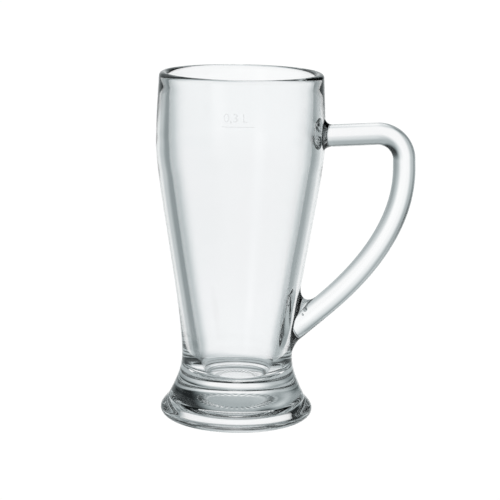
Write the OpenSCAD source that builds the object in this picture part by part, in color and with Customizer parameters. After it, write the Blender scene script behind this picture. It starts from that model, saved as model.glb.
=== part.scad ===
// Footed beer mug of clear glass: a tall bowl with a thick wall, a pressed foot fused under it
// and a handle bent from solid glass rod, fused to the bowl at both of its ends.
// The origin is on the mug's axis, in the plane that the foot stands on.
// +Z is up and the handle points along +X.

/* [Bowl, outside] */
// Height of the mug, from the table to the top of the rim
mug_h = 170; // [155:1:190]
// Outside diameter at the belly, the widest part of the bowl
belly_d = 81.7; // [74:0.1:90]
// Height of the belly above the table
belly_z = 136; // [120:1:146]
// How far the rim is drawn in from the belly, on the radius
rim_in = 1.15; // [0:0.05:3]
// Thickness of the glass at the rounded rim
rim_t = 4.4; // [3:0.1:5.4]
// Outside diameter at the waist, the narrowest part above the foot
waist_d = 54.2; // [48:0.1:60]
// Height of the waist above the table
waist_z = 31; // [27:0.5:38]

/* [Bowl, inside] */
// Thickness of the wall at the belly
wall_t = 5.85; // [5:0.05:7]
// Thickness of the wall at the level of the inside floor
base_wall_t = 9.8; // [8:0.1:12]
// Thickness of glass between the seam and the inside floor
floor_t = 2.4; // [2:0.1:6]
// Radius of the corner around the inside floor
floor_corner_r = 5; // [2:0.1:6]
// How far below the belly the inside taper meets the straight part
taper_drop = 4.5; // [2:0.5:12]
// Length of the soft bend between taper and straight part, each way
taper_bend = 9; // [4:0.5:14]
// Depth over which the inside opens out to the rim
mouth_h = 9; // [6:0.5:14]

/* [Foot] */
// Largest diameter of the foot
foot_d = 74.7; // [68:0.1:84]
// Height of the seam where the foot is fused to the bowl
foot_h = 18; // [14:0.5:22]
// Height of the crease between the flare and the rounded lip
crease_z = 10.3; // [8:0.1:12]
// How far the lip stands out past the crease, on the radius
lip_out = 3.75; // [2:0.05:5]
// Height of the widest line of the lip
lip_z = 4.4; // [2:0.1:6]
// How far the rounded lower edge turns in to the bearing ring
edge_in = 6.4; // [3:0.1:8]
// Width of the flat ring that the mug stands on
ring_w = 3.6; // [2:0.1:6]
// Height of the hollow underneath, in the middle
hollow_h = 5.2; // [1:0.1:7]

/* [Handle] */
// Clear space between the belly and the inside of the grip
grip_gap = 32.9; // [26:0.1:40]
// Diameter of the glass rod along the top and the grip
rod_d = 10.7; // [9:0.1:12]
// Diameter of the glass rod at the lower joint
root_d = 11.2; // [9:0.1:12.5]
// Height where the rod's centre line meets the wall at the upper joint
upper_z = 140.7; // [130:0.1:146]
// Upward slope of the top of the handle, in degrees
upper_rise = 4.4; // [0:0.1:10]
// Radius of the upper corner, along the centre line
corner_r = 12.2; // [9:0.1:15]
// Height where the rod's centre line meets the wall at the lower joint
lower_z = 45; // [40:0.1:52]
// Upward slope of the rod as it leaves the lower joint, in degrees
lower_rise = 42; // [35:0.5:48]

/* [Handle joints] */
// Upper joint: fillet up the wall above the rod
upper_top_fillet = 3.1; // [1.5:0.1:5]
// Upper joint: fillet down the wall below the rod
upper_under_fillet = 1.8; // [1:0.1:4]
// Upper joint: reach of the fillet along the rod
upper_rod_fillet = 3.3; // [2:0.1:6]
// Lower joint: fillet down the wall under the rod
lower_under_fillet = 4.5; // [2:0.1:7]
// Lower joint: fillet up the wall, in the finger gap
lower_top_fillet = 13; // [6:0.5:15]
// Lower joint: reach of the fillet along the rod
lower_rod_fillet = 12.5; // [6:0.5:15]
// Both joints: fillet beside the rod
side_fillet = 2.3; // [1:0.1:4]

/* [Hidden] */
$fn = 96;

// Clear glass with a faint cool green
glass = [0.84, 0.91, 0.91, 0.55];

// Points on each stretch of an outline
flare_steps = 12;
wall_steps = 26;
shoulder_steps = 7;
rim_steps = 12;
bend_steps = 7;
corner_steps = 8;
lip_steps = 8;
edge_steps = 8;
hollow_steps = 8;

// Handles of the curves, as shares of each curve's height
flare_low_share = 0.48;
flare_high_share = 0.27;
wall_low_share = 0.23;
wall_high_share = 0.18;
shoulder_share = 0.4;
lip_low_share = 0.28;
lip_high_share = 0.53;
mouth_share = 0.5;
hollow_flat_share = 0.72;
hollow_edge_share = 0.06;

// Slopes at the crease, in degrees from upright
flare_slope = 27;
lip_slope = 40;
// Inward lean of the wall where it meets the rounded rim, in degrees
rim_lean = 3;

// Radii and heights that follow from the sizes above
belly_r = belly_d / 2;
waist_r = waist_d / 2;
foot_r = foot_d / 2;
rim_r = belly_r - rim_in;
rim_z = mug_h - rim_t / 2;
bore_r = belly_r - wall_t;
floor_z = foot_h + floor_t;
floor_r = waist_r - base_wall_t;
taper_top_z = belly_z - taper_drop;
crease_r = foot_r - lip_out;
ring_r = foot_r - edge_in;
hollow_r = ring_r - ring_w;

// Cubic curve from p to s with the handles q and r
function curve(p, q, r, s, n) = [
    for (i = [0:n]) let (t = i / n, u = 1 - t)
        u * u * u * p + 3 * u * u * t * q + 3 * u * t * t * r + t * t * t * s
];

// Arc of radius r about c, from angle a to angle b
function arc(c, r, a, b, n) = [
    for (i = [0:n]) let (w = a + (b - a) * i / n) c + r * [cos(w), sin(w)]
];

// A list without its first point, for joining two stretches that share one
function rest(list) = [for (i = [1:len(list) - 1]) list[i]];

// Outside of the mug from the crease to the rim, as [radius, height], going up
flare_rise = waist_z - crease_z;
wall_rise = belly_z - waist_z;
shoulder_rise = rim_z - belly_z;
flare_line = curve(
    [crease_r, crease_z],
    [crease_r, crease_z] + flare_low_share * flare_rise * [-tan(flare_slope), 1],
    [waist_r, waist_z - flare_high_share * flare_rise],
    [waist_r, waist_z],
    flare_steps
);
wall_line = curve(
    [waist_r, waist_z],
    [waist_r, waist_z + wall_low_share * wall_rise],
    [belly_r, belly_z - wall_high_share * wall_rise],
    [belly_r, belly_z],
    wall_steps
);
shoulder_line = curve(
    [belly_r, belly_z],
    [belly_r, belly_z + shoulder_share * shoulder_rise],
    [rim_r, rim_z] + shoulder_share * shoulder_rise * [tan(rim_lean), -1],
    [rim_r, rim_z],
    shoulder_steps
);
outside = concat(flare_line, rest(wall_line), rest(shoulder_line));

// The same line as a table from height to radius
outside_rows = [for (p = outside) [p.y, p.x]];
function outside_r(z) = lookup(z, outside_rows);

// Inside of the bowl from the rim to the middle of the floor, going down
taper = atan((bore_r - floor_r) / (taper_top_z - floor_z));
taper_dir = [sin(taper), cos(taper)];
corner_cut = floor_corner_r / tan((90 + taper) / 2);
mouth_line = curve(
    [rim_r - rim_t, rim_z],
    [rim_r - rim_t, rim_z - mouth_share * mouth_h],
    [bore_r, rim_z - (1 - mouth_share) * mouth_h],
    [bore_r, rim_z - mouth_h],
    bend_steps
);
bend_line = curve(
    [bore_r, taper_top_z + taper_bend],
    [bore_r, taper_top_z + taper_bend / 3],
    [bore_r, taper_top_z] - taper_bend / 3 * taper_dir,
    [bore_r, taper_top_z] - taper_bend * taper_dir,
    bend_steps
);
corner_line = arc(
    [floor_r - corner_cut, floor_z + floor_corner_r],
    floor_corner_r, -taper, -90, corner_steps
);
inside = concat(rest(mouth_line), bend_line, corner_line);

// Round top of the rim, from the outside over to the inside
rim_line = arc([rim_r - rim_t / 2, rim_z], rim_t / 2, 0, 180, rim_steps);

// Lip of the foot from the crease down to the bearing ring
lip_rise = crease_z - lip_z;
lip_line = curve(
    [crease_r, crease_z],
    [crease_r, crease_z] + lip_high_share * lip_rise * [tan(lip_slope), -1],
    [foot_r, lip_z + lip_low_share * lip_rise],
    [foot_r, lip_z],
    lip_steps
);
edge_line = [
    for (i = [0:edge_steps]) let (w = 90 * i / edge_steps)
        [foot_r - edge_in * (1 - cos(w)), lip_z * (1 - sin(w))]
];
hollow_line = curve(
    [hollow_r, 0],
    [hollow_r * (1 - hollow_edge_share), hollow_h],
    [hollow_r * hollow_flat_share, hollow_h],
    [0, hollow_h],
    hollow_steps
);

// Bowl: thick clear vessel, open at the top, cut square at the seam over the foot
module bowl() {
    above = [for (p = outside) if (p.y > foot_h) p];
    color(glass)
        rotate_extrude()
            polygon(concat(
                [[0, foot_h], [outside_r(foot_h), foot_h]],
                above, rest(rim_line), inside, [[0, floor_z]]
            ));
}

// Foot: solid flare with a rounded lip, a flat ring to stand on and a hollow underneath
module foot() {
    count = len([for (p = outside) if (p.y < foot_h) p]);
    below = [for (i = [count - 1:-1:0]) outside[i]];
    color(glass)
        rotate_extrude()
            polygon(concat(
                [[0, foot_h], [outside_r(foot_h), foot_h]],
                below, rest(lip_line), rest(edge_line), hollow_line
            ));
}

// Handle: points around the rod, rings along it and steps in each fillet
rod_sides = 24;
corner_rings = 14;
side_rings = 18;
fillet_rings = 6;
seat_rings = 2;
pierce_steps = 8;
// How sharply the fillets narrow from above and below the rod to its sides
fillet_power = 3;
// How far the fillet curves are pulled in towards the bare corner
fillet_pull_share = 0.45;
// Handles of the grip's curve, as shares of the distance that it spans
grip_high_share = 0.08;
grip_low_share = 0.69;
// Straight rod left between the lower fillet and the grip's curve, as a share of the rod
root_spare_share = 0.05;

rod_r = rod_d / 2;
root_r = root_d / 2;
grip_x = belly_r + grip_gap + rod_r;
upper_x = outside_r(upper_z);
lower_x = outside_r(lower_z);

// Centre line: straight top, corner, long sweep down, straight root
corner_x = grip_x - corner_r;
corner_start_x = corner_x - corner_r * sin(upper_rise);
corner_start_z = upper_z + (corner_start_x - upper_x) * tan(upper_rise);
corner_z = corner_start_z - corner_r * cos(upper_rise);
root_run = root_r * tan(lower_rise) + lower_rod_fillet + root_spare_share * root_d;
root_dir = [cos(lower_rise), sin(lower_rise)];
root_end = [lower_x, lower_z] + root_run * root_dir;
grip_top = [grip_x, corner_z];
grip_span = norm(grip_top - root_end);
corner_path = arc([corner_x, corner_z], corner_r, 90 + upper_rise, 0, corner_rings);
grip_path = curve(
    grip_top,
    grip_top - [0, grip_high_share * grip_span],
    root_end + grip_low_share * grip_span * root_dir,
    root_end,
    side_rings
);
rod_path = concat(corner_path, rest(grip_path));

// Angle around the rod of point k: 0 faces away from the finger gap
function around(k) = 360 * k / rod_sides;

// Ring of the rod about station i of the centre line, square to it
function rod_ring(i) =
    let (
        last = len(rod_path) - 1,
        a = rod_path[max(i - 1, 0)],
        b = rod_path[min(i + 1, last)],
        along = i == 0 ? [cos(upper_rise), sin(upper_rise)] : i == last ? -root_dir : (b - a) / norm(b - a),
        grip_i = max(i - corner_rings, 0),
        r = rod_r + (root_r - rod_r) * grip_i / side_rings,
        c = rod_path[i]
    )
    [for (k = [0:rod_sides - 1]) let (w = around(k))
        [c.x - r * cos(w) * along.y, r * sin(w), c.y + r * cos(w) * along.x]];

// Where a line from point g along d meets the outside of the bowl
function pierce(g, d, n = pierce_steps) =
    n == 0 ? g
    : pierce(g - (g.x - sqrt(pow(outside_r(g.z), 2) - g.y * g.y)) / d.x * d, d, n - 1);

// Point on the outside of the bowl at angle a and height z
function on_wall(a, z) = let (r = outside_r(z)) [r * cos(a), r * sin(a), z];

// Fillet width at angle w around the rod, from its widths outside, beside and inside
function fillet(w, out, side, in) =
    side + (out - side) * pow(max(cos(w), 0), fillet_power)
         + (in - side) * pow(max(-cos(w), 0), fillet_power);

// One joint: its centre's height, the rod's slope and radius there, +1 where the outer side
// of the rod faces up and -1 where it faces down, and the fillet widths on wall and rod
function joint(z, rise, r, up, wall_out, wall_in, rod_out, rod_in) =
    let (
        c = on_wall(0, z),
        d = [cos(rise), 0, sin(rise)],
        out = up * [-sin(rise), 0, cos(rise)]
    )
    [for (k = [0:rod_sides - 1])
        let (
            w = around(k),
            p = pierce(c + r * (cos(w) * out + sin(w) * [0, 1, 0]), d),
            spread = fillet(w, wall_out, side_fillet, wall_in),
            seat_z = p.z + up * spread * cos(w),
            seat_a = atan2(p.y, p.x) + spread * sin(w) / outside_r(p.z) * 180 / PI
        )
        [seat_a, seat_z, p, p + fillet(w, rod_out, side_fillet, rod_in) * d]];

// Ring of a joint's fillet, at share t of the way from the wall to the rod
function fillet_ring(ends, t) = [
    for (e = ends)
        let (
            s = on_wall(e[0], e[1]),
            q = s + fillet_pull_share * (e[2] - s),
            r = e[3] + fillet_pull_share * (e[2] - e[3]),
            u = 1 - t
        )
        u * u * u * s + 3 * u * u * t * q + 3 * u * t * t * r + t * t * t * e[3]
];

// Ring on the wall under a joint, drawn in to share t of the seat
function seat_ring(ends, z, t) = [for (e = ends) on_wall(t * e[0], z + t * (e[1] - z))];

upper_joint = joint(
    upper_z, upper_rise, rod_r, 1,
    upper_top_fillet, upper_under_fillet, upper_rod_fillet, upper_rod_fillet
);
lower_joint = joint(
    lower_z, lower_rise, root_r, -1,
    lower_under_fillet, lower_top_fillet, lower_under_fillet, lower_rod_fillet
);

// Handle: solid glass rod that spreads into a fillet on the wall at both ends
module handle() {
    rings = concat(
        [for (i = [1:seat_rings]) seat_ring(upper_joint, upper_z, i / (seat_rings + 1))],
        [for (i = [0:fillet_rings]) fillet_ring(upper_joint, i / fillet_rings)],
        [for (i = [0:len(rod_path) - 1]) rod_ring(i)],
        [for (i = [fillet_rings:-1:0]) fillet_ring(lower_joint, i / fillet_rings)],
        [for (i = [seat_rings:-1:1]) seat_ring(lower_joint, lower_z, i / (seat_rings + 1))]
    );
    points = concat(
        [for (ring = rings) for (p = ring) p],
        [on_wall(0, upper_z), on_wall(0, lower_z)]
    );
    ring_count = len(rings);
    first_pole = ring_count * rod_sides;
    last_pole = first_pole + 1;
    last_ring = (ring_count - 1) * rod_sides;
    sides = [
        for (i = [0:ring_count - 2], k = [0:rod_sides - 1])
            let (
                a = i * rod_sides + k,
                b = i * rod_sides + (k + 1) % rod_sides,
                c = b + rod_sides,
                d = a + rod_sides
            )
            each [[a, b, c], [a, c, d]]
    ];
    ends = [
        for (k = [0:rod_sides - 1])
            let (m = (k + 1) % rod_sides)
            each [[first_pole, m, k], [last_pole, last_ring + k, last_ring + m]]
    ];
    color(glass)
        polyhedron(points, concat(sides, ends));
}

bowl();
foot();
handle();
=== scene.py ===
"""Footed beer mug of clear glass: bowl, pressed foot and rod handle, with an etched fill mark on the bowl
and a few bubbles in the handle's root, on a pale floor in soft studio light."""
import math
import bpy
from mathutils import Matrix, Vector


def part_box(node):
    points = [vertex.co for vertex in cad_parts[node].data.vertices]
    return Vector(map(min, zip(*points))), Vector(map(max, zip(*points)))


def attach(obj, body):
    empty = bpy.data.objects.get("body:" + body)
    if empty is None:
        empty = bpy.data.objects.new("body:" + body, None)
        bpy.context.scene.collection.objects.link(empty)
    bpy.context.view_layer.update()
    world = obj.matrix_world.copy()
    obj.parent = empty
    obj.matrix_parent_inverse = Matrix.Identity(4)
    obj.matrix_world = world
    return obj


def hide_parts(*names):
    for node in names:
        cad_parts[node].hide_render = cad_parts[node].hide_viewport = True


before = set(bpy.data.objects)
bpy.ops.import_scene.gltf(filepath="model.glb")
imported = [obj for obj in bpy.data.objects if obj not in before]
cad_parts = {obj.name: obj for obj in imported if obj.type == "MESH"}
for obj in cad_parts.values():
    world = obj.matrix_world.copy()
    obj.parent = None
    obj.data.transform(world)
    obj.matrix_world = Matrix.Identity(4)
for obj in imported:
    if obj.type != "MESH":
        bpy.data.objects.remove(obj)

from types import SimpleNamespace

import bmesh
import bpy
import numpy as np
from bpy.props import FloatProperty, FloatVectorProperty, IntProperty, PointerProperty, StringProperty
from bpy.types import Operator, Panel, PropertyGroup
from mathutils import Matrix, Vector
from mathutils.geometry import delaunay_2d_cdt

bl_info = {
    "name": "Footed Beer Mug",
    "version": (1, 0, 0),
    "blender": (4, 5, 0),
    "location": "3D View > Sidebar > Mug",
    "description": "Builds a clear glass beer mug with a foot and a rod handle around its packed model",
    "category": "Add Mesh",
}

# A millimetre in the scene's metres
MM = 0.001
# Straight up in an outline
UP = np.array([0.0, 1.0])
# Points around the bowl and around the foot
WALL_SEGMENTS, FOOT_SEGMENTS = 288, 576
# Pull with which a cubic curve follows a quarter circle
ROUND = 0.5523
# Points that are closer than this become one
WELD = 0.001 * MM
# How fine the noise is in the clouds of the tint, in the waves and films, and in the etching
CLOUD_DETAIL, WAVE_DETAIL, ETCH_DETAIL = 2.0, 1.0, 3.0
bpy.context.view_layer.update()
BOWL_LOW, BOWL_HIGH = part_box("bowl")
FOOT_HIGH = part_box("foot")[1]


def in_metres(name, description, value, low=0.0):
    """A length property, with its default in metres."""
    return FloatProperty(
        name=name, description=description, default=value, min=low, unit="LENGTH", precision=5
    )


def in_mm(name, description, value):
    """A length property in metres, from a default in millimetres."""
    return in_metres(name, description, value * MM)


def in_degrees(name, description, value):
    """An angle property in radians, from a default in degrees."""
    return FloatProperty(name=name, description=description, default=math.radians(value), subtype="ANGLE")


def number(name, description, value):
    """A plain number from zero up, such as the pull of a curve's handle or a brightness."""
    return FloatProperty(name=name, description=description, default=value, min=0)


def count(name, description, value):
    """A whole number from one up."""
    return IntProperty(name=name, description=description, default=value, min=1)


def paint(name, description, value):
    """A colour property."""
    return FloatVectorProperty(
        name=name, description=description, subtype="COLOR", default=value, min=0, max=1
    )


class BowlSizes(PropertyGroup):
    """Sizes of the bowl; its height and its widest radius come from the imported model."""

    height: in_metres("Height", "Table to the top of the rim", BOWL_HIGH.z)
    belly_r: in_metres("Belly radius", "Widest radius of the bowl", -BOWL_LOW.x)
    belly_z: in_mm("Belly height", "Height of the widest line of the bowl", 136)
    rim_in: in_mm("Rim set-in", "How far the rim is drawn in from the belly", 1.15)
    rim_t: in_mm("Rim thickness", "Glass at the rounded rim", 4.4)
    rim_lean: in_degrees("Rim lean", "Inward lean of the wall at the rim", 3)
    waist_r: in_mm("Waist radius", "Narrowest radius above the foot", 27.1)
    waist_z: in_mm("Waist height", "Height of the narrowest line", 31)
    wall_t: in_mm("Wall at the belly", "Thickness of glass at the belly", 5.85)
    base_wall_t: in_mm("Wall at the floor", "Thickness of glass level with the inside floor", 9.8)
    floor_t: in_mm("Floor thickness", "Glass between the seam and the inside floor", 2.4)
    floor_corner_r: in_mm("Floor corner", "Radius around the inside floor", 5)
    taper_drop: in_mm("Taper drop", "How far below the belly the taper meets the straight part", 4.5)
    taper_bend: in_mm("Taper bend", "Length of the soft bend, each way", 9)
    mouth_h: in_mm("Mouth depth", "Depth over which the inside opens to the rim", 9)
    wall_low: number("Lower pull", "Handle of the wall's curve at the waist", 0.23)
    wall_high: number("Upper pull", "Handle of the wall's curve at the belly", 0.18)
    shoulder: number("Shoulder pull", "Handles of the curve to the rim", 0.4)


class FootSizes(PropertyGroup):
    """Sizes of the foot; its radius and the seam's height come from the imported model."""

    radius: in_metres("Radius", "Largest radius of the foot", FOOT_HIGH.x)
    seam_z: in_metres("Seam", "Height where foot and bowl are fused", FOOT_HIGH.z)
    crease_z: in_mm("Crease height", "Height of the crease between flare and lip", 10.3)
    lip_out: in_mm("Lip", "How far the lip stands out past the crease", 3.75)
    lip_z: in_mm("Lip height", "Height of the widest line of the lip", 4.4)
    edge_in: in_mm("Edge", "How far the lower edge turns in to the standing ring", 6.4)
    ring_w: in_mm("Standing ring", "Width of the flat ring underneath", 3.6)
    hollow_h: in_mm("Hollow", "Height of the hollow underneath", 5.2)
    flare_slope: in_degrees("Flare slope", "Slope of the flare at the crease", 27)
    lip_slope: in_degrees("Lip slope", "Slope of the lip at the crease", 40)
    flare_low: number("Flare pull, low", "Handle of the flare at the crease", 0.48)
    flare_high: number("Flare pull, high", "Handle of the flare at the waist", 0.27)
    lip_low: number("Lip pull, low", "Handle of the lip at its widest", 0.28)
    lip_high: number("Lip pull, high", "Handle of the lip at the crease", 0.53)
    hollow_flat: number("Hollow, flat", "Share of the hollow that is nearly flat", 0.72)
    hollow_edge: number("Hollow, edge", "Share of the hollow at its steep edge", 0.06)
    ridges: count("Ridges", "Pressed ridges around the hollow", 36)
    ridge_in: in_mm("Ridges, inner", "Radius where the ridges begin", 10.8)
    ridge_out: in_mm("Ridges, outer", "Radius where the ridges end", 12.4)
    ridge_soft: in_mm("Ridges, run-out", "Length over which the ridges fade at both ends", 1)
    ridge_h: in_mm("Ridge depth", "How far the ridges stand out", 0.22)


class HandleSizes(PropertyGroup):
    """Sizes of the bent rod and of its two fused joints."""

    grip_gap: in_mm("Finger gap", "Belly to the inside of the grip", 32.9)
    rod_r: in_mm("Rod radius", "Radius along the top and the grip", 5.35)
    root_r: in_mm("Root radius", "Radius at the lower joint", 5.6)
    upper_z: in_mm("Upper joint", "Height where the centre line meets the wall above", 140.7)
    upper_rise: in_degrees("Top slope", "Upward slope of the top run", 4.4)
    corner_r: in_mm("Corner", "Radius of the upper corner along the centre line", 12.2)
    lower_z: in_mm("Lower joint", "Height where the centre line meets the wall below", 45)
    lower_rise: in_degrees("Root slope", "Upward slope of the rod at the lower joint", 42)
    upper_top: in_mm("Upper fillet, top", "Fillet up the wall above the upper joint", 3.1)
    upper_under: in_mm("Upper fillet, under", "Fillet down the wall under the upper joint", 1.8)
    upper_rod: in_mm("Upper fillet, rod", "Reach of the upper fillet along the rod", 3.3)
    lower_under: in_mm("Lower fillet, under", "Fillet down the wall under the lower joint", 4.5)
    lower_top: in_mm("Lower fillet, top", "Fillet up the wall in the finger gap", 13)
    lower_rod: in_mm("Lower fillet, rod", "Reach of the lower fillet along the rod", 12.5)
    fillet_focus: count("Fillet focus", "How closely a joint's inner fillet keeps to the rod's line", 8)
    upper_side: in_mm("Upper fillet, side", "Fillet beside the rod at the upper joint", 2.3)
    lower_side: in_mm("Lower fillet, side", "Fillet beside the rod at the lower joint", 1.1)
    grip_high: number("Grip pull, high", "Handle of the grip's curve at the corner", 0.08)
    grip_low: number("Grip pull, low", "Handle of the grip's curve at the root", 0.69)


class MarkSizes(PropertyGroup):
    """The fill mark: a plain measure over a line, on the side of the bowl that faces the camera."""

    measure: StringProperty(name="Measure", description="Plain measure over the line", default="0,3 L")
    side: in_degrees("Side", "Where the mark is around the bowl", -84.8)
    line_z: in_mm("Fill line", "Height of the fill line", 148.7)
    line_w: in_mm("Line length", "Length of the fill line", 15.5)
    line_h: in_mm("Line height", "Height of the line's stroke", 0.4)
    line_aside: in_mm("Line aside", "How far the line's middle is right of the figures' middle", 1.3)
    figure_h: in_mm("Figures", "Height of the figures", 4.7)
    figure_gap: in_mm("Gap", "Gap between the line and the figures", 1.3)
    skin: in_mm("Skin", "Thickness of the etched skin", 0.02)
    grey: paint("Grey", "Colour of the etched glass", (0.55, 0.58, 0.59))
    rough: number("Roughness", "Roughness of the etched glass", 0.7)
    grain: number("Grain", "Grains of the etching in a metre", 2600)
    veil_low: number("Veil, thin", "Share of the veil where the etching is thinnest", 0.6)
    veil_high: number("Veil, thick", "Share of the veil where the etching is thickest", 1.4)
    veil: number("Veil", "How much of the light the mark stops", 0.055)


class BubbleSizes(PropertyGroup):
    """Small air bubbles caught in the glass at the handle's root."""

    bubbles: count("Bubbles", "Number of bubbles", 5)
    radius: in_mm("Radius", "Radius of the largest bubble", 1)
    along: in_mm("Along", "Middle of the cluster, outward from the axis", 34.2)
    height: in_mm("Height", "Middle of the cluster, above the table", 54.6)
    spread: in_mm("Spread", "How far the cluster reaches up and down from its middle", 2.6)
    narrow: number("Narrowness", "Width of the cluster as a share of its height", 0.5)
    least: number("Least", "Radius of the smallest bubble as a share of the largest one's", 0.5)
    film: in_mm("Film", "Size of the spots in the film on a bubble's wall", 0.025)
    dull: number("Dullness", "Roughness where that film is thickest", 0.02)


class GlassFinish(PropertyGroup):
    """Colour and polish of the glass."""

    tint: paint("Tint", "What each pass through a surface leaves of the light", (0.988, 0.992, 0.998))
    deep: paint("Deep tint", "The tint where the glass is a little greener", (0.982, 0.99, 0.994))
    cloud: in_mm("Tint clouds", "Size of the soft clouds in the tint", 45)
    cloud_clear: number("Clouds, clear", "Noise value up to which the glass has its lighter tint", 0.35)
    cloud_deep: number("Clouds, deep", "Noise value from which on it has its deeper tint", 0.65)
    wave: in_mm("Waves", "Distance between the soft waves that the mould and the flame leave", 16)
    wave_h: in_mm("Wave height", "Height of those waves", 0.025)
    ior: number("Index", "Index of refraction of the glass", 1.52)
    polish: number("Roughness", "Roughness of the fire-polished skin", 0.0)


class Studio(PropertyGroup):
    """Camera and light of the photograph."""

    lens: FloatProperty(name="Lens", description="Focal length", default=140.1, min=1, unit="CAMERA")
    distance: in_mm("Distance", "Camera to the mug's axis, along the floor", 931)
    camera_z: in_mm("Camera height", "Camera above the table", 266.6)
    handle_turn: in_degrees("Handle turn", "How far the handle is turned towards the camera", 8.5)
    yaw: in_degrees("Yaw", "Aim past the mug's axis", 0.33743)
    pitch: in_degrees("Pitch", "Camera looks down by", 11.14432)
    roll: in_degrees("Roll", "Camera's roll", 1.01619)
    # The floor's brightness is painted light: it glows white under and behind the mug and fades to a paler
    # glow at the sides and the front, lit by no lamp
    floor_white: number("Floor, white", "Brightness of the sweep", 1.03)
    floor_pale: number("Floor, pale", "Brightness beside the sweep", 0.6)
    sweep_start: in_mm("Sweep start", "How far before the mug the sweep's sides would meet", 860)
    sweep_near: number("Sweep, inner", "Slope of the sweep's white part", 0.14)
    sweep_far: number("Sweep, outer", "Slope where the sweep has faded", 0.40)
    front_clear: in_metres("Front, clear", "Depth where the floor is still white", -0.16, low=-1)
    front_dark: in_metres("Front, faded", "Depth where it has faded", -0.5, low=-1)
    cool: paint("Cool light", "Colour of the room's dimmest light", (0.8, 0.97, 1.0))
    room: number("Room", "Brightness of the dim room", 0.02)
    room_white: number("Room, white", "Highest brightness where the lights add up", 1.01)


# Soft patches of the studio's light: name, azimuth, half width, foot, top, blur and brightness. Azimuths
# are in degrees right of the view, foot and top in degrees above the horizon.
SOFTBOXES = (
    ("Floor around", 180, 116, -90, 3, 10, 0.5),
    ("Table", 3, 65, -90, -49, 7, 0.22),
    ("Back sweep", 2, 20, -90, 39, 8, 0.44),
    ("Back sweep, right", 21, 16, -90, -4, 10, 0.38),
    ("Back sweep, left", -15, 22, -38, 11, 8, 0.34),
    ("Table behind", -1, 62, -90, -4, 8, 0.2),
    ("Overhead bank", -1, 30, 57, 100, 8, 1.1),
    ("Left bank", -48, 16, 10, 48, 7, 0.35),
    ("Left bank, inner", -27, 12, 8, 28, 7, 0.25),
    ("Table, right", 44, 22, -52, -22, 7, 0.12),
    ("Overhead edge", 0, 32, 42, 57, 7, 0.2),
    ("Side sweep, right", 52, 13, -60, 4, 9, 0.14),
    ("Side sweep, left", -52, 13, -60, 4, 9, 0.07),
    ("Left strip", -28, 6, 21, 34, 6, 0.35),
    ("Front card", -149, 9, -9, 9, 8, 0.5),
)


def on_cubic(t, p, q, r, s):
    """The point at t on the cubic curve from p to s with the handles q and r."""
    return (1 - t) ** 3 * p + 3 * (1 - t) ** 2 * t * q + 3 * (1 - t) * t ** 2 * r + t ** 3 * s


def cubic(p, q, r, s, steps):
    """Points on such a curve from end to end."""
    t = np.linspace(0, 1, steps + 1)[:, None]
    return on_cubic(t, *(np.asarray(x, float) for x in (p, q, r, s)))


def arc(centre, radius, start, end, steps):
    """Points on an arc; the angles are in radians."""
    angles = np.linspace(start, end, steps + 1)
    return np.asarray(centre, float) + radius * np.stack([np.cos(angles), np.sin(angles)], 1)


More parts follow.
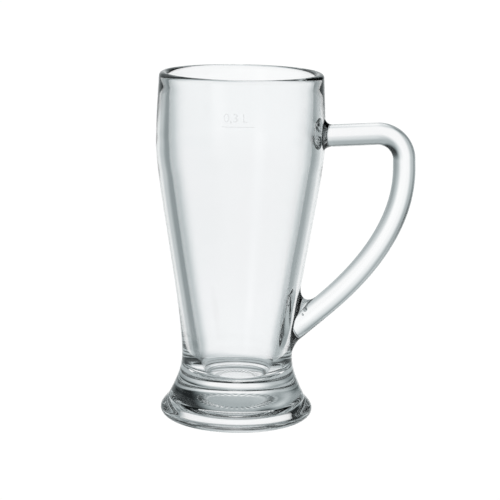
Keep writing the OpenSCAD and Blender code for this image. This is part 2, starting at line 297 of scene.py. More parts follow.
class Outline:
    """The mug's profile as [radius, height] points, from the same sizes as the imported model."""

    # Steps along each stretch, outside and inside
    FLARE, WALL, SHOULDER, RIM = 40, 96, 24, 24
    MOUTH, BEND, TAPER, CORNER, FLOOR = 16, 16, 40, 16, 8
    # Steps of the flare in which the seam's height is looked up
    SEARCH = 2000
    # Points this close to the seam are on it
    NEAR = 0.0001 * MM

    def __init__(self, bowl, foot):
        self.seam_z = foot.seam_z
        self.belly_r = bowl.belly_r
        waist = np.array([bowl.waist_r, bowl.waist_z])
        belly = np.array([bowl.belly_r, bowl.belly_z])
        rim = np.array([bowl.belly_r - bowl.rim_in, bowl.height - bowl.rim_t / 2])
        crease = np.array([foot.radius - foot.lip_out, foot.crease_z])
        flare_h = waist[1] - crease[1]
        wall_h = belly[1] - waist[1]
        shoulder_h = rim[1] - belly[1]
        lean = np.array([math.tan(bowl.rim_lean), -1.0])
        flare_ends = (
            crease, crease + foot.flare_low * flare_h * np.array([-math.tan(foot.flare_slope), 1]),
            waist - foot.flare_high * flare_h * UP, waist
        )
        flare = cubic(*flare_ends, self.FLARE)
        wall = cubic(
            waist, waist + bowl.wall_low * wall_h * UP,
            belly - bowl.wall_high * wall_h * UP, belly, self.WALL
        )
        shoulder = cubic(
            belly, belly + bowl.shoulder * shoulder_h * UP,
            rim + bowl.shoulder * shoulder_h * lean, rim, self.SHOULDER
        )
        self.outside = np.vstack([flare, wall[1:], shoulder[1:]])
        heights = cubic(*flare_ends, self.SEARCH)[:, 1]
        self.seam_share = np.interp(foot.seam_z, heights, np.linspace(0, 1, len(heights)))
        self.rim = arc([rim[0] - bowl.rim_t / 2, rim[1]], bowl.rim_t / 2, 0, math.pi, self.RIM)
        self.inside = self.inner_line(bowl, belly, waist, rim)

    def inner_line(self, bowl, belly, waist, rim):
        """Inside of the bowl, from the rim down to the middle of the floor."""
        bore = bowl.belly_r - bowl.wall_t
        floor = np.array([waist[0] - bowl.base_wall_t, self.seam_z + bowl.floor_t])
        top = np.array([bore, belly[1] - bowl.taper_drop])
        taper = math.atan2(top[0] - floor[0], top[1] - floor[1])
        along = np.array([math.sin(taper), math.cos(taper)])
        cut = bowl.floor_corner_r / math.tan((math.pi / 2 + taper) / 2)
        lip = np.array([rim[0] - bowl.rim_t, rim[1]])
        straight = np.array([bore, rim[1] - bowl.mouth_h])
        pull = bowl.mouth_h / 2 * UP
        mouth = cubic(lip, lip - pull, straight + pull, straight, self.MOUTH)
        bend = cubic(
            top + bowl.taper_bend * UP, top + bowl.taper_bend / 3 * UP,
            top - bowl.taper_bend / 3 * along, top - bowl.taper_bend * along, self.BEND
        )
        centre = [floor[0] - cut, floor[1] + bowl.floor_corner_r]
        corner = arc(centre, bowl.floor_corner_r, -taper, -math.pi / 2, self.CORNER)
        taper_line = bend[-1] + np.linspace(0, 1, self.TAPER + 1)[1:-1, None] * (corner[0] - bend[-1])
        flat = corner[-1] + np.linspace(0, 1, self.FLOOR)[1:, None] * (np.array([0, floor[1]]) - corner[-1])
        return np.vstack([mouth[1:], bend, taper_line, corner, flat])

    def radius(self, z):
        """Outside radius at height z."""
        return np.interp(z, self.outside[:, 1], self.outside[:, 0])

    def bowl(self):
        """The bowl's closed outline, from the middle of the seam round to the middle of the floor."""
        seam = np.array([self.radius(self.seam_z), self.seam_z])
        above = self.outside[self.outside[:, 1] > self.seam_z + self.NEAR]
        self.wall_rows = 1 + len(above)
        return np.vstack([[0, self.seam_z], seam, above, self.rim[1:], self.inside])


class Shell:
    """Points, faces and face materials of a closed piece."""

    def __init__(self, points):
        self.points = [np.asarray(points, float)]
        self.count = len(points)
        self.faces, self.slots = [], []

    def add(self, face, slot):
        """Adds a face with the material of that slot: 0 for clear glass, 1 for a fused face."""
        self.faces.append(tuple(int(i) for i in face))
        self.slots.append(slot)

    def more_points(self, points):
        """Adds points and gives the first one's number."""
        first = self.count
        self.points.append(np.asarray(points, float))
        self.count += len(points)
        return first

    def mesh(self, name):
        """A new object with the shell as its mesh."""
        mesh = bpy.data.meshes.new(name)
        mesh.from_pydata(np.vstack(self.points).tolist(), [], self.faces)
        mesh.update()
        mesh.shade_smooth()
        mesh.polygons.foreach_set("material_index", np.array(self.slots, np.int32))
        mark_border(mesh)
        return place(name, mesh)


def lathe(outline, segments, blocks):
    """A shell turned from an outline that starts and ends on the axis, with its first flat face fused.
    The wall is left open in the blocks; each is its first row, the row after its last one and its
    columns to either side."""
    rings = outline[1:-1]
    w = np.linspace(0, 2 * math.pi, segments, endpoint=False)
    points = np.stack([
        rings[:, :1] * np.cos(w), rings[:, :1] * np.sin(w), np.repeat(rings[:, 1:], segments, 1)
    ], 2).reshape(-1, 3)
    shell = Shell(np.vstack([points, [[0, 0, outline[0, 1]], [0, 0, outline[-1, 1]]]]))
    low, high = shell.count - 2, shell.count - 1
    last = (len(rings) - 1) * segments
    for j in range(segments):
        k = (j + 1) % segments
        column = j if j < segments // 2 else j - segments
        shell.add((low, k, j), 1)
        for i in range(len(rings) - 1):
            if any(a <= i < b and -c <= column < c for a, b, c in blocks):
                continue
            a = i * segments
            shell.add((a + j, a + k, a + segments + k, a + segments + j), 0)
        shell.add((last + j, last + k, high), 0)
    return shell


def ring_distance(points, ring):
    """Distance of flat points from a closed line, below zero inside it."""
    nearest = np.full(len(points), np.inf)
    inside = np.zeros(len(points), bool)
    for b, c in zip(ring, np.roll(ring, -1, 0)):
        t = np.clip(((points - b) @ (c - b)) / ((c - b) @ (c - b)), 0, 1)
        nearest = np.minimum(nearest, np.linalg.norm(points - b - t[:, None] * (c - b), axis=1))
        crosses = (b[1] > points[:, 1]) != (c[1] > points[:, 1])
        slope = (c[0] - b[0]) / (c[1] - b[1]) if c[1] != b[1] else 0
        inside ^= crosses & (points[:, 0] < b[0] + (points[:, 1] - b[1]) * slope)
    return np.where(inside, -nearest, nearest)


class ShapeTree:
    """A Geometry Nodes tree with named inputs, and the plain mesh that it makes."""

    def __init__(self, name):
        self.tree = bpy.data.node_groups.new(name, "GeometryNodeTree")
        self.board = Board(self.tree)
        self.entry = self.tree.nodes.new("NodeGroupInput")
        self.values = {}
        self.tree.interface.new_socket("Geometry", in_out="OUTPUT", socket_type="NodeSocketGeometry")

    def input(self, name, value, kind="NodeSocketFloat"):
        """A named input of the tree; the modifier gets its value."""
        item = self.tree.interface.new_socket(name, in_out="INPUT", socket_type=kind)
        self.values[item.identifier] = value
        return Sock(self.board, self.entry.outputs[name])

    def inputs(self, group, *names):
        """Inputs for values of a property group, named as the panel shows them."""
        made = SimpleNamespace()
        for name in names:
            shown = group.bl_rna.properties[name]
            kind = "NodeSocket" + shown.type.capitalize()
            setattr(made, name, self.input(shown.name, getattr(group, name), kind))
        return made

    def point(self, x, z):
        """The point at radius x and height z."""
        return self.board.add("ShaderNodeCombineXYZ", inputs={0: x, 2: z})

    def vector(self, operation, a, b):
        """A node of vector arithmetic."""
        return self.board.add("ShaderNodeVectorMath", {"operation": operation}, [a, b])

    def cubic(self, points, t):
        """The point at t on the cubic curve with these end points and handles, by repeated blending."""
        while len(points) > 1:
            points = [self.board.mix("VECTOR", t, a, b) for a, b in zip(points, points[1:])]
        return points[0]

    def turned(self, stretches, columns):
        """Radius, height and angle at each point of a sheet that is turned about the axis.
        Each stretch is its number of rows, its end points and handles, and the share of it that is used."""
        index = self.board.add("GeometryNodeInputIndex")
        row = (index / (columns + 1)).math("FLOOR")
        angle = (index - row * (columns + 1)) * (2 * math.pi) / columns
        spot, start = stretches[0][1][0], 0
        for rows, points, share in stretches:
            settings = {"operation": "DIVIDE", "use_clamp": True}
            t = self.board.add("ShaderNodeMath", settings, [row - start, rows])
            step = self.vector("SUBTRACT", self.cubic(points, t * share), points[0])
            spot = self.vector("ADD", spot, step)
            start += rows
        radius, _, height = self.board.split(spot)
        counts = {"Vertices X": start + 1, "Vertices Y": columns + 1}
        return self.board.add("GeometryNodeMeshGrid", inputs=counts), radius, height, angle

    def closed(self, sheet, radius, height, angle):
        """The sheet set round the axis and joined where its edges meet."""
        x, y = radius * angle.math("COSINE"), radius * angle.math("SINE")
        around = self.board.add("ShaderNodeCombineXYZ", inputs=[x, y, height])
        set_out = self.board.add("GeometryNodeSetPosition", inputs={"Geometry": sheet, "Position": around})
        inputs = {"Geometry": set_out, "Distance": WELD}
        merged = self.board.add("GeometryNodeMergeByDistance", inputs=inputs)
        outward = self.board.add("GeometryNodeFlipFaces", inputs=[merged])
        return self.board.add("GeometryNodeSetShadeSmooth", inputs={"Geometry": outward})

    def mesh(self, name, geometry, materials):
        """Runs the tree once; the result becomes a new object's own mesh.
        Each material comes with the faces that it covers; the first one covers all."""
        shape = self.board.add("GeometryNodeRealizeInstances", inputs=[geometry])
        for material, selection in materials:
            covered = {"Geometry": shape, "Selection": selection, "Material": material}
            shape = self.board.add("GeometryNodeSetMaterial", inputs=covered)
        self.tree.links.new(shape.socket, self.tree.nodes.new("NodeGroupOutput").inputs[0])
        piece = place(name, bpy.data.meshes.new(name))
        modifier = piece.modifiers.new("Shape", "NODES")
        modifier.node_group = self.tree
        for identifier, value in self.values.items():
            modifier[identifier] = value
        view = bpy.context.evaluated_depsgraph_get()
        made = bpy.data.meshes.new_from_object(piece.evaluated_get(view))
        piece.modifiers.remove(modifier)
        # The first slot is empty
        made.materials.pop(index=0)
        piece.data = made
        mark_border(made)
        return piece


class SeatPatch:
    """Part of the bowl's wall around one seat of the handle, meshed along the seat's edge."""

    # Wall around the seat that is meshed with it, and the size of a cell of its grid
    ROOM, CELL = 3 * MM, 0.9 * MM
    # Grid points closer to the seat's edge than this share of a cell are left out
    CLEAR = 0.3
    # Points closer than this share of a cell would become one
    JOIN = 0.0001

    def __init__(self, joint, outline, rows, segments):
        self.joint, self.rows, self.segments = joint, rows, segments
        seat_a, seat_z = joint["seat"].T
        self.first = int(np.searchsorted(rows, seat_z.min() - self.ROOM)) - 1
        self.last = int(np.searchsorted(rows, seat_z.max() + self.ROOM))
        self.r = float(outline.radius(joint["z"]))
        self.wide = int(math.ceil((np.abs(seat_a).max() + self.ROOM / self.r) * segments / (2 * math.pi)))
        self.block = (self.first, self.last, self.wide)

    def fill(self, shell, on_wall):
        """Closes the block that lathe left open, with the seat itself in the second material."""
        step = 2 * math.pi / self.segments
        ring = self.joint["seat"] * [self.r, 1] / self.CELL
        rows, columns = range(self.first, self.last + 1), range(-self.wide, self.wide + 1)
        grid = [(i, j) for i in rows for j in columns]
        flat = np.array([(j * step * self.r, self.rows[i]) for i, j in grid]) / self.CELL
        edge = np.array([i in (rows[0], rows[-1]) or abs(j) == self.wide for i, j in grid])
        keep = edge | (np.abs(ring_distance(flat, ring)) > self.CLEAR)
        numbers = [i * self.segments + j % self.segments for (i, j), k in zip(grid, keep) if k]
        first = shell.more_points(on_wall(*self.joint["seat"].T))
        numbers += range(first, first + len(ring))
        points = np.vstack([flat[keep], ring])
        start = len(points) - len(ring)
        loop = [(start + k, start + (k + 1) % len(ring)) for k in range(len(ring))]
        made = delaunay_2d_cdt([Vector(p) for p in points], loop, [], 0, self.JOIN)
        spots = np.array([tuple(p) for p in made[0]])
        if len(spots) != len(points):
            raise RuntimeError("The wall around a seat did not mesh cleanly")
        back = [numbers[origin[0]] for origin in made[3]]
        middles = np.array([spots[list(face)].mean(0) for face in made[2]])
        seated = ring_distance(middles, ring) < 0
        for face, inside in zip(made[2], seated):
            a, b, c = (spots[i] for i in face)
            turn = (b[0] - a[0]) * (c[1] - a[1]) - (b[1] - a[1]) * (c[0] - a[0])
            face = face if turn > 0 else face[::-1]
            shell.add([back[i] for i in face], int(inside))


def mark_border(mesh):
    """Edges between two materials are sharp, so that each side keeps its own smooth shading."""
    shape = bmesh.new()
    shape.from_mesh(mesh)
    for edge in shape.edges:
        edge.smooth = len({face.material_index for face in edge.link_faces}) < 2
    shape.to_mesh(mesh)
    shape.free()


def place(name, mesh):
    """A new object for a mesh whose place is in its points."""
    obj = bpy.data.objects.new(name, mesh)
    bpy.context.scene.collection.objects.link(obj)
    return obj


class Rod:
    """The handle's rings: a rod swept along its centre line, with a fillet on the wall at both ends."""

    # Points around the rod, and rings along the corner, the grip, each fillet and each seat
    SIDES = 128
    CORNER, GRIP, FILLET, SEAT = 64, 128, 24, 4
    # Rounds of moving the corner's points along the rod until they lie on the wall
    ROUNDS = 12
    # Place of a fillet's handles on the way from its ends to the bare corner
    PULL = 0.45
    # How closely a joint's outer fillet keeps to the rod's line
    OUTER_FOCUS = 3
    # Straight run past the lower fillet, as a share of the rod's radius
    RUN_OUT = 0.1

    def __init__(self, sizes, outline):
        self.sizes = s = sizes
        self.outline = outline
        self.around = np.linspace(0, 2 * math.pi, self.SIDES, endpoint=False)
        self.upper = self.joint(
            s.upper_z, s.upper_rise, s.rod_r, 1,
            (s.upper_top, s.upper_under), (s.upper_rod, s.upper_rod), s.upper_side
        )
        self.lower = self.joint(
            s.lower_z, s.lower_rise, s.root_r, -1,
            (s.lower_under, s.lower_top), (s.lower_under, s.lower_rod), s.lower_side
        )

    def on_wall(self, angles, heights):
        """Points on the bowl's wall."""
        angles, heights = np.broadcast_arrays(angles, heights)
        r = self.outline.radius(heights)
        return np.stack([r * np.cos(angles), r * np.sin(angles), heights], -1)

    def spread(self, out, inner, s):
        """Fillet width around the rod: out, inner, and s at its sides."""
        outward, inward = np.maximum(np.cos(self.around), 0), np.maximum(-np.cos(self.around), 0)
        outer = (out - s) * outward ** self.OUTER_FOCUS
        return s + outer + (inner - s) * inward ** self.sizes.fillet_focus

    def joint(self, z, rise, radius, up, wall, rod, side):
        """Seat on the wall as angle and height, the bare corner and the fillet's end on the rod."""
        along = np.array([math.cos(rise), 0, math.sin(rise)])
        out = up * np.array([-math.sin(rise), 0, math.cos(rise)])
        p = self.on_wall(0.0, z) + radius * (
            np.cos(self.around)[:, None] * out + np.sin(self.around)[:, None] * np.array([0, 1, 0])
        )
        for _ in range(self.ROUNDS):
            gap = p[:, 0] - np.sqrt(self.outline.radius(p[:, 2]) ** 2 - p[:, 1] ** 2)
            p = p - gap[:, None] / along[0] * along
        width = self.spread(*wall, side)
        seat_z = p[:, 2] + up * width * np.cos(self.around)
        aside = width * np.sin(self.around) / self.outline.radius(p[:, 2])
        seat_a = np.arctan2(p[:, 1], p[:, 0]) + aside
        return {
            "z": z, "seat": np.stack([seat_a, seat_z], 1), "corner": p,
            "end": p + self.spread(*rod, side)[:, None] * along,
        }

    def fillet(self, joint, t):
        """The ring at the share t of a fillet, from its seat on the wall to its end on the rod."""
        wall, corner, end = self.on_wall(*joint["seat"].T), joint["corner"], joint["end"]
        return on_cubic(t, wall, wall + self.PULL * (corner - wall), end + self.PULL * (corner - end), end)

    def seat(self, joint, t):
        """The ring at the share t of a seat, from its middle to its edge."""
        angles, heights = joint["seat"].T
        return self.on_wall(t * angles, joint["z"] + t * (heights - joint["z"]))

    def path(self):
        """Centre line from the top run's end to the root, with the direction and radius at each point."""
        s = self.sizes
        grip_x = self.outline.belly_r + s.grip_gap + s.rod_r
        corner_x = grip_x - s.corner_r
        start_x = corner_x - s.corner_r * math.sin(s.upper_rise)
        start_z = s.upper_z + (start_x - self.outline.radius(s.upper_z)) * math.tan(s.upper_rise)
        corner_z = start_z - s.corner_r * math.cos(s.upper_rise)
        root = np.array([math.cos(s.lower_rise), math.sin(s.lower_rise)])
        run = s.root_r * math.tan(s.lower_rise) + s.lower_rod + self.RUN_OUT * s.root_r
        end = np.array([self.outline.radius(s.lower_z), s.lower_z]) + run * root
        top = np.array([grip_x, corner_z])
        span = np.linalg.norm(top - end)
        corner = arc([corner_x, corner_z], s.corner_r, math.pi / 2 + s.upper_rise, 0, self.CORNER)
        grip = cubic(top, top - [0, s.grip_high * span], end + s.grip_low * span * root, end, self.GRIP)
        line = np.vstack([corner, grip[1:]])
        along = np.gradient(line, axis=0)
        along[0] = [math.cos(s.upper_rise), math.sin(s.upper_rise)]
        along[-1] = -root
        along /= np.linalg.norm(along, axis=1)[:, None]
        share = np.clip((np.arange(len(line)) - self.CORNER) / self.GRIP, 0, 1)
        return line, along, s.rod_r + (s.root_r - s.rod_r) * share

    def rings(self):
        """All rings of the handle, from the upper seat's middle to the lower one's."""
        line, along, radius = self.path()
        c, s = np.cos(self.around), np.sin(self.around)
        rod = [
            np.stack([p[0] - r * c * d[1], r * s, p[1] + r * c * d[0]], 1)
            for p, d, r in zip(line, along, radius)
        ]
        shares = [(i + 1) / (self.SEAT + 1) for i in range(self.SEAT)]
        steps = np.linspace(0, 1, self.FILLET + 1)
        return (
            [self.seat(self.upper, t) for t in shares]
            + [self.fillet(self.upper, t) for t in steps]
            + rod
            + [self.fillet(self.lower, t) for t in steps[::-1]]
            + [self.seat(self.lower, t) for t in shares[::-1]]
        )

    def mesh(self, name):
        """A new object with the handle as its mesh; its seats get the second material."""
        rings = self.rings()
        n = self.SIDES
        points = np.vstack(rings + [
            self.on_wall(np.zeros(1), self.upper["z"]), self.on_wall(np.zeros(1), self.lower["z"])
        ])
        first, last = len(points) - 2, len(points) - 1
        tail = (len(rings) - 1) * n
        shell = Shell(points)
        for k in range(n):
            m = (k + 1) % n
            shell.add((first, k, m), 1)
            shell.add((last, tail + m, tail + k), 1)
            for i in range(len(rings) - 1):
                a = i * n
                seated = i < self.SEAT or i >= len(rings) - 1 - self.SEAT
                shell.add((a + k, a + n + k, a + n + m, a + m), int(seated))
        return shell.mesh(name)


def math_node(operation, swapped=False):
    """One of Sock's operators: it adds a Math node."""
    def add(one, other):
        inputs = [other, one] if swapped else [one, other]
        return one.board.add("ShaderNodeMath", {"operation": operation}, inputs)
    return add


class Sock:
    """A node socket on which Python's operators add Math nodes."""

    __add__ = __radd__ = math_node("ADD")
    __mul__ = __rmul__ = math_node("MULTIPLY")
    __sub__ = math_node("SUBTRACT")
    __rsub__ = math_node("SUBTRACT", swapped=True)
    __truediv__ = math_node("DIVIDE")

    def __init__(self, board, socket):
        self.board, self.socket = board, socket

    def math(self, operation, *others):
        """A Math node with this socket as its first input."""
        return self.board.add("ShaderNodeMath", {"operation": operation}, [self, *others])

    def fade(self, start, end):
        """1 up to start and 0 from end on, with a soft step between them."""
        return self.board.add(
            "ShaderNodeMapRange", {"interpolation_type": "SMOOTHSTEP"},
            {"Value": self, "From Min": start, "From Max": end, "To Min": 1.0, "To Max": 0.0}
        )


class Board:
    """A node tree, with one method that adds any node and others for the ones that come often."""

    # Number of a Mix node's first end and of its result, by what it mixes
    MIX = {"FLOAT": (2, 0), "VECTOR": (4, 1), "RGBA": (6, 2)}

    def __init__(self, tree):
        self.tree = tree
        tree.nodes.clear()

    def add(self, kind, settings=None, inputs=(), out=0):
        """Adds a node with its settings and inputs, and gives the output of that number or name."""
        node = self.tree.nodes.new(kind)
        for key, value in (settings or {}).items():
            setattr(node, key, value)
        pairs = inputs.items() if isinstance(inputs, dict) else enumerate(inputs)
        for key, value in pairs:
            if isinstance(value, Sock):
                self.tree.links.new(value.socket, node.inputs[key])
            elif value is not None:
                node.inputs[key].default_value = value
        return Sock(self, node.outputs[out])

    def split(self, vector):
        """The three parts of a vector."""
        node = self.add("ShaderNodeSeparateXYZ", inputs=[vector]).socket.node
        return [Sock(self, part) for part in node.outputs]

    def turned(self, vector, angle):
        """A vector turned about the vertical axis."""
        inputs = {"Vector": vector, "Angle": angle}
        return self.add("ShaderNodeVectorRotate", {"rotation_type": "Z_AXIS"}, inputs)

    def mix(self, kind, share, first, second):
        """A mix of two numbers, vectors or colours."""
        end, out = self.MIX[kind]
        return self.add("ShaderNodeMix", {"data_type": kind}, {0: share, end: first, end + 1: second}, out)

    def noise(self, scale, detail):
        """Soft noise in the object, between 0 and 1, with this many spots to the metre."""
        spot = self.add("ShaderNodeTexCoord", out="Object")
        return self.add("ShaderNodeTexNoise", inputs={"Vector": spot, "Scale": scale, "Detail": detail})

    def finish(self, kind, surface):
        """Ends the tree in an output node."""
        node = self.tree.nodes.new(kind)
        self.tree.links.new(surface.socket, node.inputs["Surface"])

    def principled(self, inputs):
        """Ends a material's tree in a Principled surface."""
        self.finish("ShaderNodeOutputMaterial", self.add("ShaderNodeBsdfPrincipled", inputs=inputs))

    def glass(self, look, changes):
        """Ends a material's tree in plain polished glass, with some of its inputs changed."""
        plain = {
            "Base Color": (*look.tint, 1), "Roughness": look.polish, "IOR": look.ior,
            "Transmission Weight": 1.0,
        }
        self.principled({**plain, **changes})


def new_material(name):
    """A new material and the board of its tree."""
    material = bpy.data.materials.new(name)
    material.use_nodes = True
    return material, Board(material.node_tree)


def clear_glass(name, look):
    """Fire-polished clear glass: a tint with soft clouds and a skin with faint waves."""
    material, board = new_material(name)
    clouds = board.noise(1 / look.cloud, CLOUD_DETAIL).fade(look.cloud_deep, look.cloud_clear)
    waves = board.noise(1 / look.wave, WAVE_DETAIL)
    board.glass(look, {
        "Base Color": board.mix("RGBA", clouds, (*look.tint, 1), (*look.deep, 1)),
        "Normal": board.add("ShaderNodeBump", inputs={"Distance": look.wave_h, "Height": waves}),
    })
    return material


def fused_skin(name, look):
    """A face where two pieces are one glass: nothing shows and nothing bends the light."""
    material, board = new_material(name)
    board.glass(look, {"Alpha": 0.0})
    return material


def hand_over(piece, slot, *nodes):
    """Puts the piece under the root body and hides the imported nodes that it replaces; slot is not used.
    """
    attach(piece, "root")
    if nodes:
        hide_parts(*nodes)


class MUG_OT_bowl(Operator):
    """Builds the bowl of clear glass"""

    bl_idname = "mug.bowl"
    bl_label = "Bowl"

    def execute(self, context):
        scene = context.scene
        outline = Outline(scene.mug_bowl, scene.mug_foot)
        rod = Rod(scene.mug_handle, outline)
        line = outline.bowl()
        rows = line[1:-1, 1][: outline.wall_rows]
        patches = [SeatPatch(joint, outline, rows, WALL_SEGMENTS) for joint in (rod.upper, rod.lower)]
        shell = lathe(line, WALL_SEGMENTS, [patch.block for patch in patches])
        for patch in patches:
            patch.fill(shell, rod.on_wall)
        piece = shell.mesh("bowl_glass")
        piece.data.materials.append(clear_glass("Bowl Glass", scene.mug_glass))
        piece.data.materials.append(fused_skin("Bowl Seam", scene.mug_glass))
        hand_over(piece, "bowl_glass", "bowl")
        return {"FINISHED"}


class MUG_OT_foot(Operator):
    """Builds the pressed foot of clear glass"""

    bl_idname = "mug.foot"
    bl_label = "Foot"

    # Rows of faces along the hollow, the ring, the edge, the lip, the flare and the seam
    ROWS = (40, 3, 18, 20, 20, 3)
    # Ridges are pressed only into faces that are no higher above the hollow than this
    RIDGE_ROOM = 1 * MM
    # Faces this little below the seam's height still belong to it
    SEAM_ROOM = 0.01 * MM

    def execute(self, context):
        scene = context.scene
        foot, bowl = scene.mug_foot, scene.mug_bowl
        shape = ShapeTree("Foot Shape")
        f = shape.inputs(foot, *foot.__annotations__)
        b = shape.inputs(bowl, "waist_r", "waist_z")
        seam_share = shape.input("Seam share", Outline(bowl, foot).seam_share)
        ring_in, crease_r = f.radius - f.edge_in, f.radius - f.lip_out
        hollow_r = ring_in - f.ring_w
        flare_h, lip_h = b.waist_z - f.crease_z, f.crease_z - f.lip_z
        flare_low, flare_high = f.flare_low * flare_h, f.flare_high * flare_h
        lip_low, lip_high = f.lip_low * lip_h, f.lip_high * lip_h
        at = shape.point
        crease = at(crease_r, f.crease_z)
        hollow = [
            at(0.0, f.hollow_h), at(hollow_r * f.hollow_flat, f.hollow_h),
            at(hollow_r * (1 - f.hollow_edge), f.hollow_h), at(hollow_r, 0.0),
        ]
        ring = [at(hollow_r, 0.0), at(ring_in, 0.0)]
        edge = [
            at(ring_in, 0.0), at(ring_in + f.edge_in * ROUND, 0.0),
            at(f.radius, f.lip_z * (1 - ROUND)), at(f.radius, f.lip_z),
        ]
        lip = [
            at(f.radius, f.lip_z), at(f.radius, f.lip_z + lip_low),
            at(crease_r + lip_high * f.lip_slope.math("TANGENT"), f.crease_z - lip_high), crease,
        ]
        flare = [
            crease, at(crease_r - flare_low * f.flare_slope.math("TANGENT"), f.crease_z + flare_low),
            at(b.waist_r, b.waist_z - flare_high), at(b.waist_r, b.waist_z),
        ]
        seam_r = shape.board.split(shape.cubic(flare, seam_share))[0]
        seam = [at(seam_r, f.seam_z), at(0.0, f.seam_z)]
        lines, shares = (hollow, ring, edge, lip, flare, seam), (1.0, 1.0, 1.0, 1.0, seam_share, 1.0)
        sheet, r, z, angle = shape.turned(list(zip(self.ROWS, lines, shares)), FOOT_SEGMENTS)
        wave = (1 + (angle * f.ridges).math("COSINE")) / 2
        outer = r.fade(f.ridge_out, f.ridge_out + f.ridge_soft)
        band = outer * (1 - r.fade(f.ridge_in - f.ridge_soft, f.ridge_in))
        under = z.fade(f.hollow_h, f.hollow_h + self.RIDGE_ROOM)
        closed = shape.closed(sheet, r, z - f.ridge_h * wave * band * under, angle)
        top = shape.board.split(shape.board.add("GeometryNodeInputPosition"))[2]
        piece = shape.mesh("foot_glass", closed, [
            (clear_glass("Foot Glass", scene.mug_glass), None),
            (fused_skin("Foot Seam", scene.mug_glass), top.math("GREATER_THAN", f.seam_z - self.SEAM_ROOM)),
        ])
        hand_over(piece, "foot_glass", "foot")
        return {"FINISHED"}


class MUG_OT_handle(Operator):
    """Builds the bent rod handle with its fused ends"""

    bl_idname = "mug.handle"
    bl_label = "Handle"

    def execute(self, context):
        scene = context.scene
        rod = Rod(scene.mug_handle, Outline(scene.mug_bowl, scene.mug_foot))
        piece = rod.mesh("handle_glass")
        piece.data.materials.append(clear_glass("Handle Glass", scene.mug_glass))
        piece.data.materials.append(fused_skin("Handle Ends", scene.mug_glass))
        hand_over(piece, "handle_glass", "handle")
        return {"FINISHED"}


class MUG_OT_mark(Operator):
    """Builds the etched fill mark, bent round the bowl's wall"""

    bl_idname = "mug.mark"
    bl_label = "Fill Mark"

    # Longest edge, so that the flat figures can follow the round wall
    SPAN = 0.7 * MM
    # Steps along each curve of a figure
    CURVE_STEPS = 4

    def execute(self, context):
        scene = context.scene
        sizes = scene.mug_mark
        shape = bmesh.new()
        shape.from_mesh(self.figures(sizes))
        low = Vector([min(v.co[i] for v in shape.verts) for i in range(3)])
        high = Vector([max(v.co[i] for v in shape.verts) for i in range(3)])
        scale = sizes.figure_h / (high.y - low.y)
        middle = Vector(((low.x + high.x) / 2, low.y, 0))
        for v in shape.verts:
            v.co = (v.co - middle) * scale + Vector((0, sizes.line_h / 2 + sizes.figure_gap, 0))
            v.co.z = math.copysign(sizes.skin / 2, v.co.z)
        stroke = Matrix.Diagonal((sizes.line_w, sizes.line_h, sizes.skin, 1))
        bmesh.ops.create_cube(shape, size=1, matrix=Matrix.Translation((sizes.line_aside, 0, 0)) @ stroke)
        bmesh.ops.remove_doubles(shape, verts=shape.verts, dist=WELD)
        bmesh.ops.triangulate(shape, faces=shape.faces)
        long = True
        while long:
            long = [e for e in shape.edges if e.calc_length() > self.SPAN]
            bmesh.ops.subdivide_edges(shape, edges=long, cuts=1)
            bmesh.ops.triangulate(shape, faces=shape.faces)
        bmesh.ops.recalc_face_normals(shape, faces=shape.faces)
        outline = Outline(scene.mug_bowl, scene.mug_foot)
        for v in shape.verts:
            z = sizes.line_z + v.co.y
            r = float(outline.radius(z)) + sizes.skin + v.co.z
            angle = sizes.side + v.co.x / r
            v.co = (r * math.cos(angle), r * math.sin(angle), z)
        mesh = bpy.data.meshes.new("fill_mark")
        shape.to_mesh(mesh)
        shape.free()
        piece = place("fill_mark", mesh)
        piece.data.materials.append(self.etched(sizes))
        hand_over(piece, "bowl_glass")
        return {"FINISHED"}

    def figures(self, sizes):
        """The measure as a flat mesh with a thickness."""
        text = bpy.data.curves.new("Measure", "FONT")
        text.body = sizes.measure
        text.extrude = sizes.skin
        text.resolution_u = self.CURVE_STEPS
        holder = place("Measure", text)
        view = bpy.context.evaluated_depsgraph_get()
        mesh = bpy.data.meshes.new_from_object(holder.evaluated_get(view))
        bpy.data.objects.remove(holder)
        return mesh

    def etched(self, sizes):
        """Etched glass: a thin grey veil, uneven in a fine grain."""
        material, board = new_material("Etched Mark")
        grain = board.noise(sizes.grain, ETCH_DETAIL)
        veil = sizes.veil * (sizes.veil_low + (sizes.veil_high - sizes.veil_low) * grain)
        board.principled({"Base Color": (*sizes.grey, 1), "Roughness": sizes.rough, "Alpha": veil})
        return material


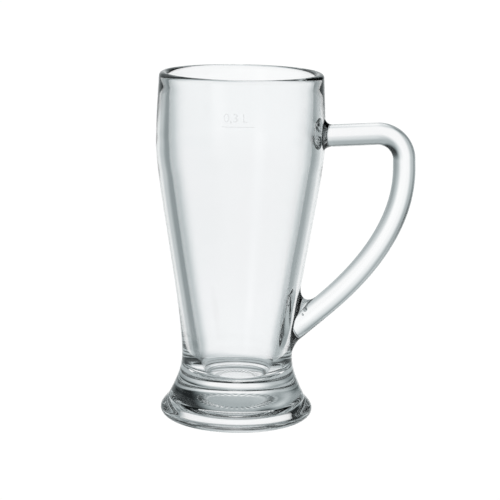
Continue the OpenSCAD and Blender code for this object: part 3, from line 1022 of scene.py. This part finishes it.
class MUG_OT_bubbles(Operator):
    """Builds the air bubbles in the handle's root"""

    bl_idname = "mug.bubbles"
    bl_label = "Bubbles"

    # Turn from one bubble to the next
    TURN = math.radians(137.5)
    # Times that the faces of a ball's icosahedron are divided, counted from one
    FINENESS = 4

    def execute(self, context):
        scene = context.scene
        sizes = scene.mug_bubbles
        shape = ShapeTree("Bubble Cluster")
        board = shape.board
        f = shape.inputs(sizes, "bubbles", "radius", "along", "height", "spread", "narrow", "least")
        index = board.add("GeometryNodeInputIndex")
        share = index / (f.bubbles - 1).math("MAXIMUM", 1.0)
        up = f.spread * share * (index * self.TURN).math("COSINE")
        aside = f.spread * share * (index * self.TURN).math("SINE")
        spots = board.add("ShaderNodeCombineXYZ", inputs=[
            f.along + up * f.narrow, aside * f.narrow, f.height + up
        ])
        points = board.add("GeometryNodePoints", inputs={"Count": f.bubbles, "Position": spots})
        inputs = {"Radius": f.radius, "Subdivisions": self.FINENESS}
        ball = board.add("GeometryNodeMeshIcoSphere", inputs=inputs)
        smooth = board.add("GeometryNodeSetShadeSmooth", inputs={"Geometry": ball})
        cluster = board.add("GeometryNodeInstanceOnPoints", inputs={
            "Points": points, "Instance": smooth, "Scale": 1 - share * (1 - f.least),
        })
        piece = shape.mesh("handle_bubbles", cluster, [(self.air(sizes, scene.mug_glass), None)])
        hand_over(piece, "handle_glass")
        return {"FINISHED"}

    def air(self, sizes, look):
        """Air inside glass: its index is the glass's, turned over; a thin film makes it a little duller."""
        material, board = new_material("Bubble")
        film = board.noise(1 / sizes.film, WAVE_DETAIL)
        board.glass(look, {"Roughness": sizes.dull * film, "IOR": 1 / look.ior})
        return material


class MUG_OT_stage(Operator):
    """Sets the pale floor, the studio light and the camera"""

    bl_idname = "mug.stage"
    bl_label = "Studio"

    # Times that light may pass or mirror before it is dropped
    BOUNCES, GLOSSY_BOUNCES = 24, 16
    # Width of the camera's sensor, in millimetres
    SENSOR = 36
    # Half the floor's width
    FLOOR_SIZE = 20.0
    # The sweep's slope is measured no nearer to where its sides would meet than this
    SWEEP_NEAREST = 50 * MM
    # Elevation of straight down and half a turn of azimuth, in degrees
    DOWN, HALF_TURN = -90, 180.0

    def execute(self, context):
        scene = context.scene
        look = scene.mug_studio
        self.camera(scene, look)
        self.floor(look)
        self.world(scene, look)
        scene.view_settings.view_transform = "Standard"
        scene.cycles.max_bounces = scene.cycles.transmission_bounces = self.BOUNCES
        scene.cycles.transparent_max_bounces = self.BOUNCES
        scene.cycles.glossy_bounces = self.GLOSSY_BOUNCES
        return {"FINISHED"}

    def camera(self, scene, look):
        """The camera that took the photograph, fitted to it."""
        data = bpy.data.cameras.new("Camera")
        data.lens = look.lens
        data.sensor_width = self.SENSOR
        camera = place("Camera", data)
        yaw, pitch = look.yaw, look.pitch
        ahead = Vector((math.sin(yaw) * math.cos(pitch), math.cos(yaw) * math.cos(pitch), -math.sin(pitch)))
        right = Vector((math.cos(yaw), -math.sin(yaw), 0))
        up = right.cross(ahead)
        side = math.cos(look.roll) * right + math.sin(look.roll) * up
        top = -math.sin(look.roll) * right + math.cos(look.roll) * up
        turn = Matrix((side, top, -ahead)).transposed().to_4x4()
        place_at = Matrix.Translation((0, -look.distance, look.camera_z))
        camera.matrix_world = Matrix.Rotation(look.handle_turn, 4, "Z") @ place_at @ turn
        scene.camera = camera

    def room_light(self, board, look, way):
        """Brightness of the studio in the direction way, as seen from the mug."""
        x, y, z = board.split(way)
        azimuth = x.math("ARCTAN2", y) * math.degrees(1)
        elevation = z.math("ARCSINE") * math.degrees(1)
        light = look.room
        for _, middle, half_width, foot, top, blur, brightness in SOFTBOXES:
            side = (azimuth - middle).math("WRAP", self.HALF_TURN, -self.HALF_TURN).math("ABSOLUTE")
            glow = side.fade(half_width - blur, half_width + blur) * elevation.fade(top - blur, top + blur)
            if foot > self.DOWN:
                glow = glow * (1 - elevation.fade(foot - blur, foot + blur))
            light = glow * brightness + light
        return light.math("MINIMUM", look.room_white)

    def floor(self, look):
        """Pale floor whose glow is painted light: a white pool under and behind the mug, softly darker to
        the sides and the front, lit by no lamp. Only the camera sees it:
        what the glass bends and mirrors comes from the room's light, whose lower half is the table."""
        mesh = bpy.data.meshes.new("Floor")
        size = self.FLOOR_SIZE
        corners = [(-size, -size, 0), (size, -size, 0), (size, size, 0), (-size, size, 0)]
        mesh.from_pydata(corners, [], [range(len(corners))])
        floor = place("Floor", mesh)
        material, board = new_material("Floor Painted Glow")
        spot = board.add("ShaderNodeTexCoord", out="Object")
        across, deep, _ = board.split(board.turned(spot, -look.handle_turn))
        # Painted light: the floor's glow is brightest in the sweep behind and under the mug and fades to
        # the sides and the front
        depth = (deep + look.sweep_start).math("MAXIMUM", self.SWEEP_NEAREST)
        sweep = (across.math("ABSOLUTE") / depth).fade(look.sweep_near, look.sweep_far)
        sweep = sweep * (1 - deep.fade(look.front_dark, look.front_clear))
        seen = look.floor_pale + (look.floor_white - look.floor_pale) * sweep
        board.finish("ShaderNodeOutputMaterial", board.add("ShaderNodeEmission", inputs={"Strength": seen}))
        mesh.materials.append(material)
        floor.visible_diffuse = floor.visible_glossy = floor.visible_transmission = False
        floor.visible_volume_scatter = floor.visible_shadow = False

    def world(self, scene, look):
        """The room's light; seen directly it is as pale as the floor, and its dim parts are cooler."""
        world = bpy.data.worlds.new("Studio")
        world.use_nodes = True
        board = Board(world.node_tree)
        way = board.add("ShaderNodeTexCoord", out="Generated")
        behind = self.room_light(board, look, board.turned(way, -look.handle_turn))
        direct = board.add("ShaderNodeLightPath", out="Is Camera Ray")
        light = board.mix("FLOAT", direct, behind, look.floor_pale)
        colour = board.mix("RGBA", light, (*look.cool, 1), (1, 1, 1, 1))
        board.finish("ShaderNodeOutputWorld", board.add("ShaderNodeBackground", inputs=[colour, light]))
        scene.world = world


class MUG_PT_panel(Panel):
    """Sizes and pieces of the mug"""

    bl_label = "Footed Mug"
    bl_idname = "MUG_PT_panel"
    bl_space_type = "VIEW_3D"
    bl_region_type = "UI"
    bl_category = "Mug"

    def draw(self, context):
        for group in GROUPS:
            box = self.layout.box()
            settings = getattr(context.scene, group)
            for name in settings.__annotations__:
                box.prop(settings, name)
        for step in STEPS:
            self.layout.operator(step.bl_idname)


GROUPS = {
    "mug_bowl": BowlSizes, "mug_foot": FootSizes, "mug_handle": HandleSizes,
    "mug_mark": MarkSizes, "mug_bubbles": BubbleSizes, "mug_glass": GlassFinish, "mug_studio": Studio,
}
STEPS = (MUG_OT_bowl, MUG_OT_foot, MUG_OT_handle, MUG_OT_mark, MUG_OT_bubbles, MUG_OT_stage)


def register():
    for cls in (*GROUPS.values(), *STEPS, MUG_PT_panel):
        bpy.utils.register_class(cls)
    for name, cls in GROUPS.items():
        setattr(bpy.types.Scene, name, PointerProperty(type=cls))


def unregister():
    for name in GROUPS:
        delattr(bpy.types.Scene, name)
    for cls in reversed((*GROUPS.values(), *STEPS, MUG_PT_panel)):
        bpy.utils.unregister_class(cls)


def main():
    register()
    bpy.ops.mug.bowl()
    bpy.ops.mug.foot()
    bpy.ops.mug.handle()
    bpy.ops.mug.mark()
    bpy.ops.mug.bubbles()
    bpy.ops.mug.stage()


if __name__ == "__main__":
    main()
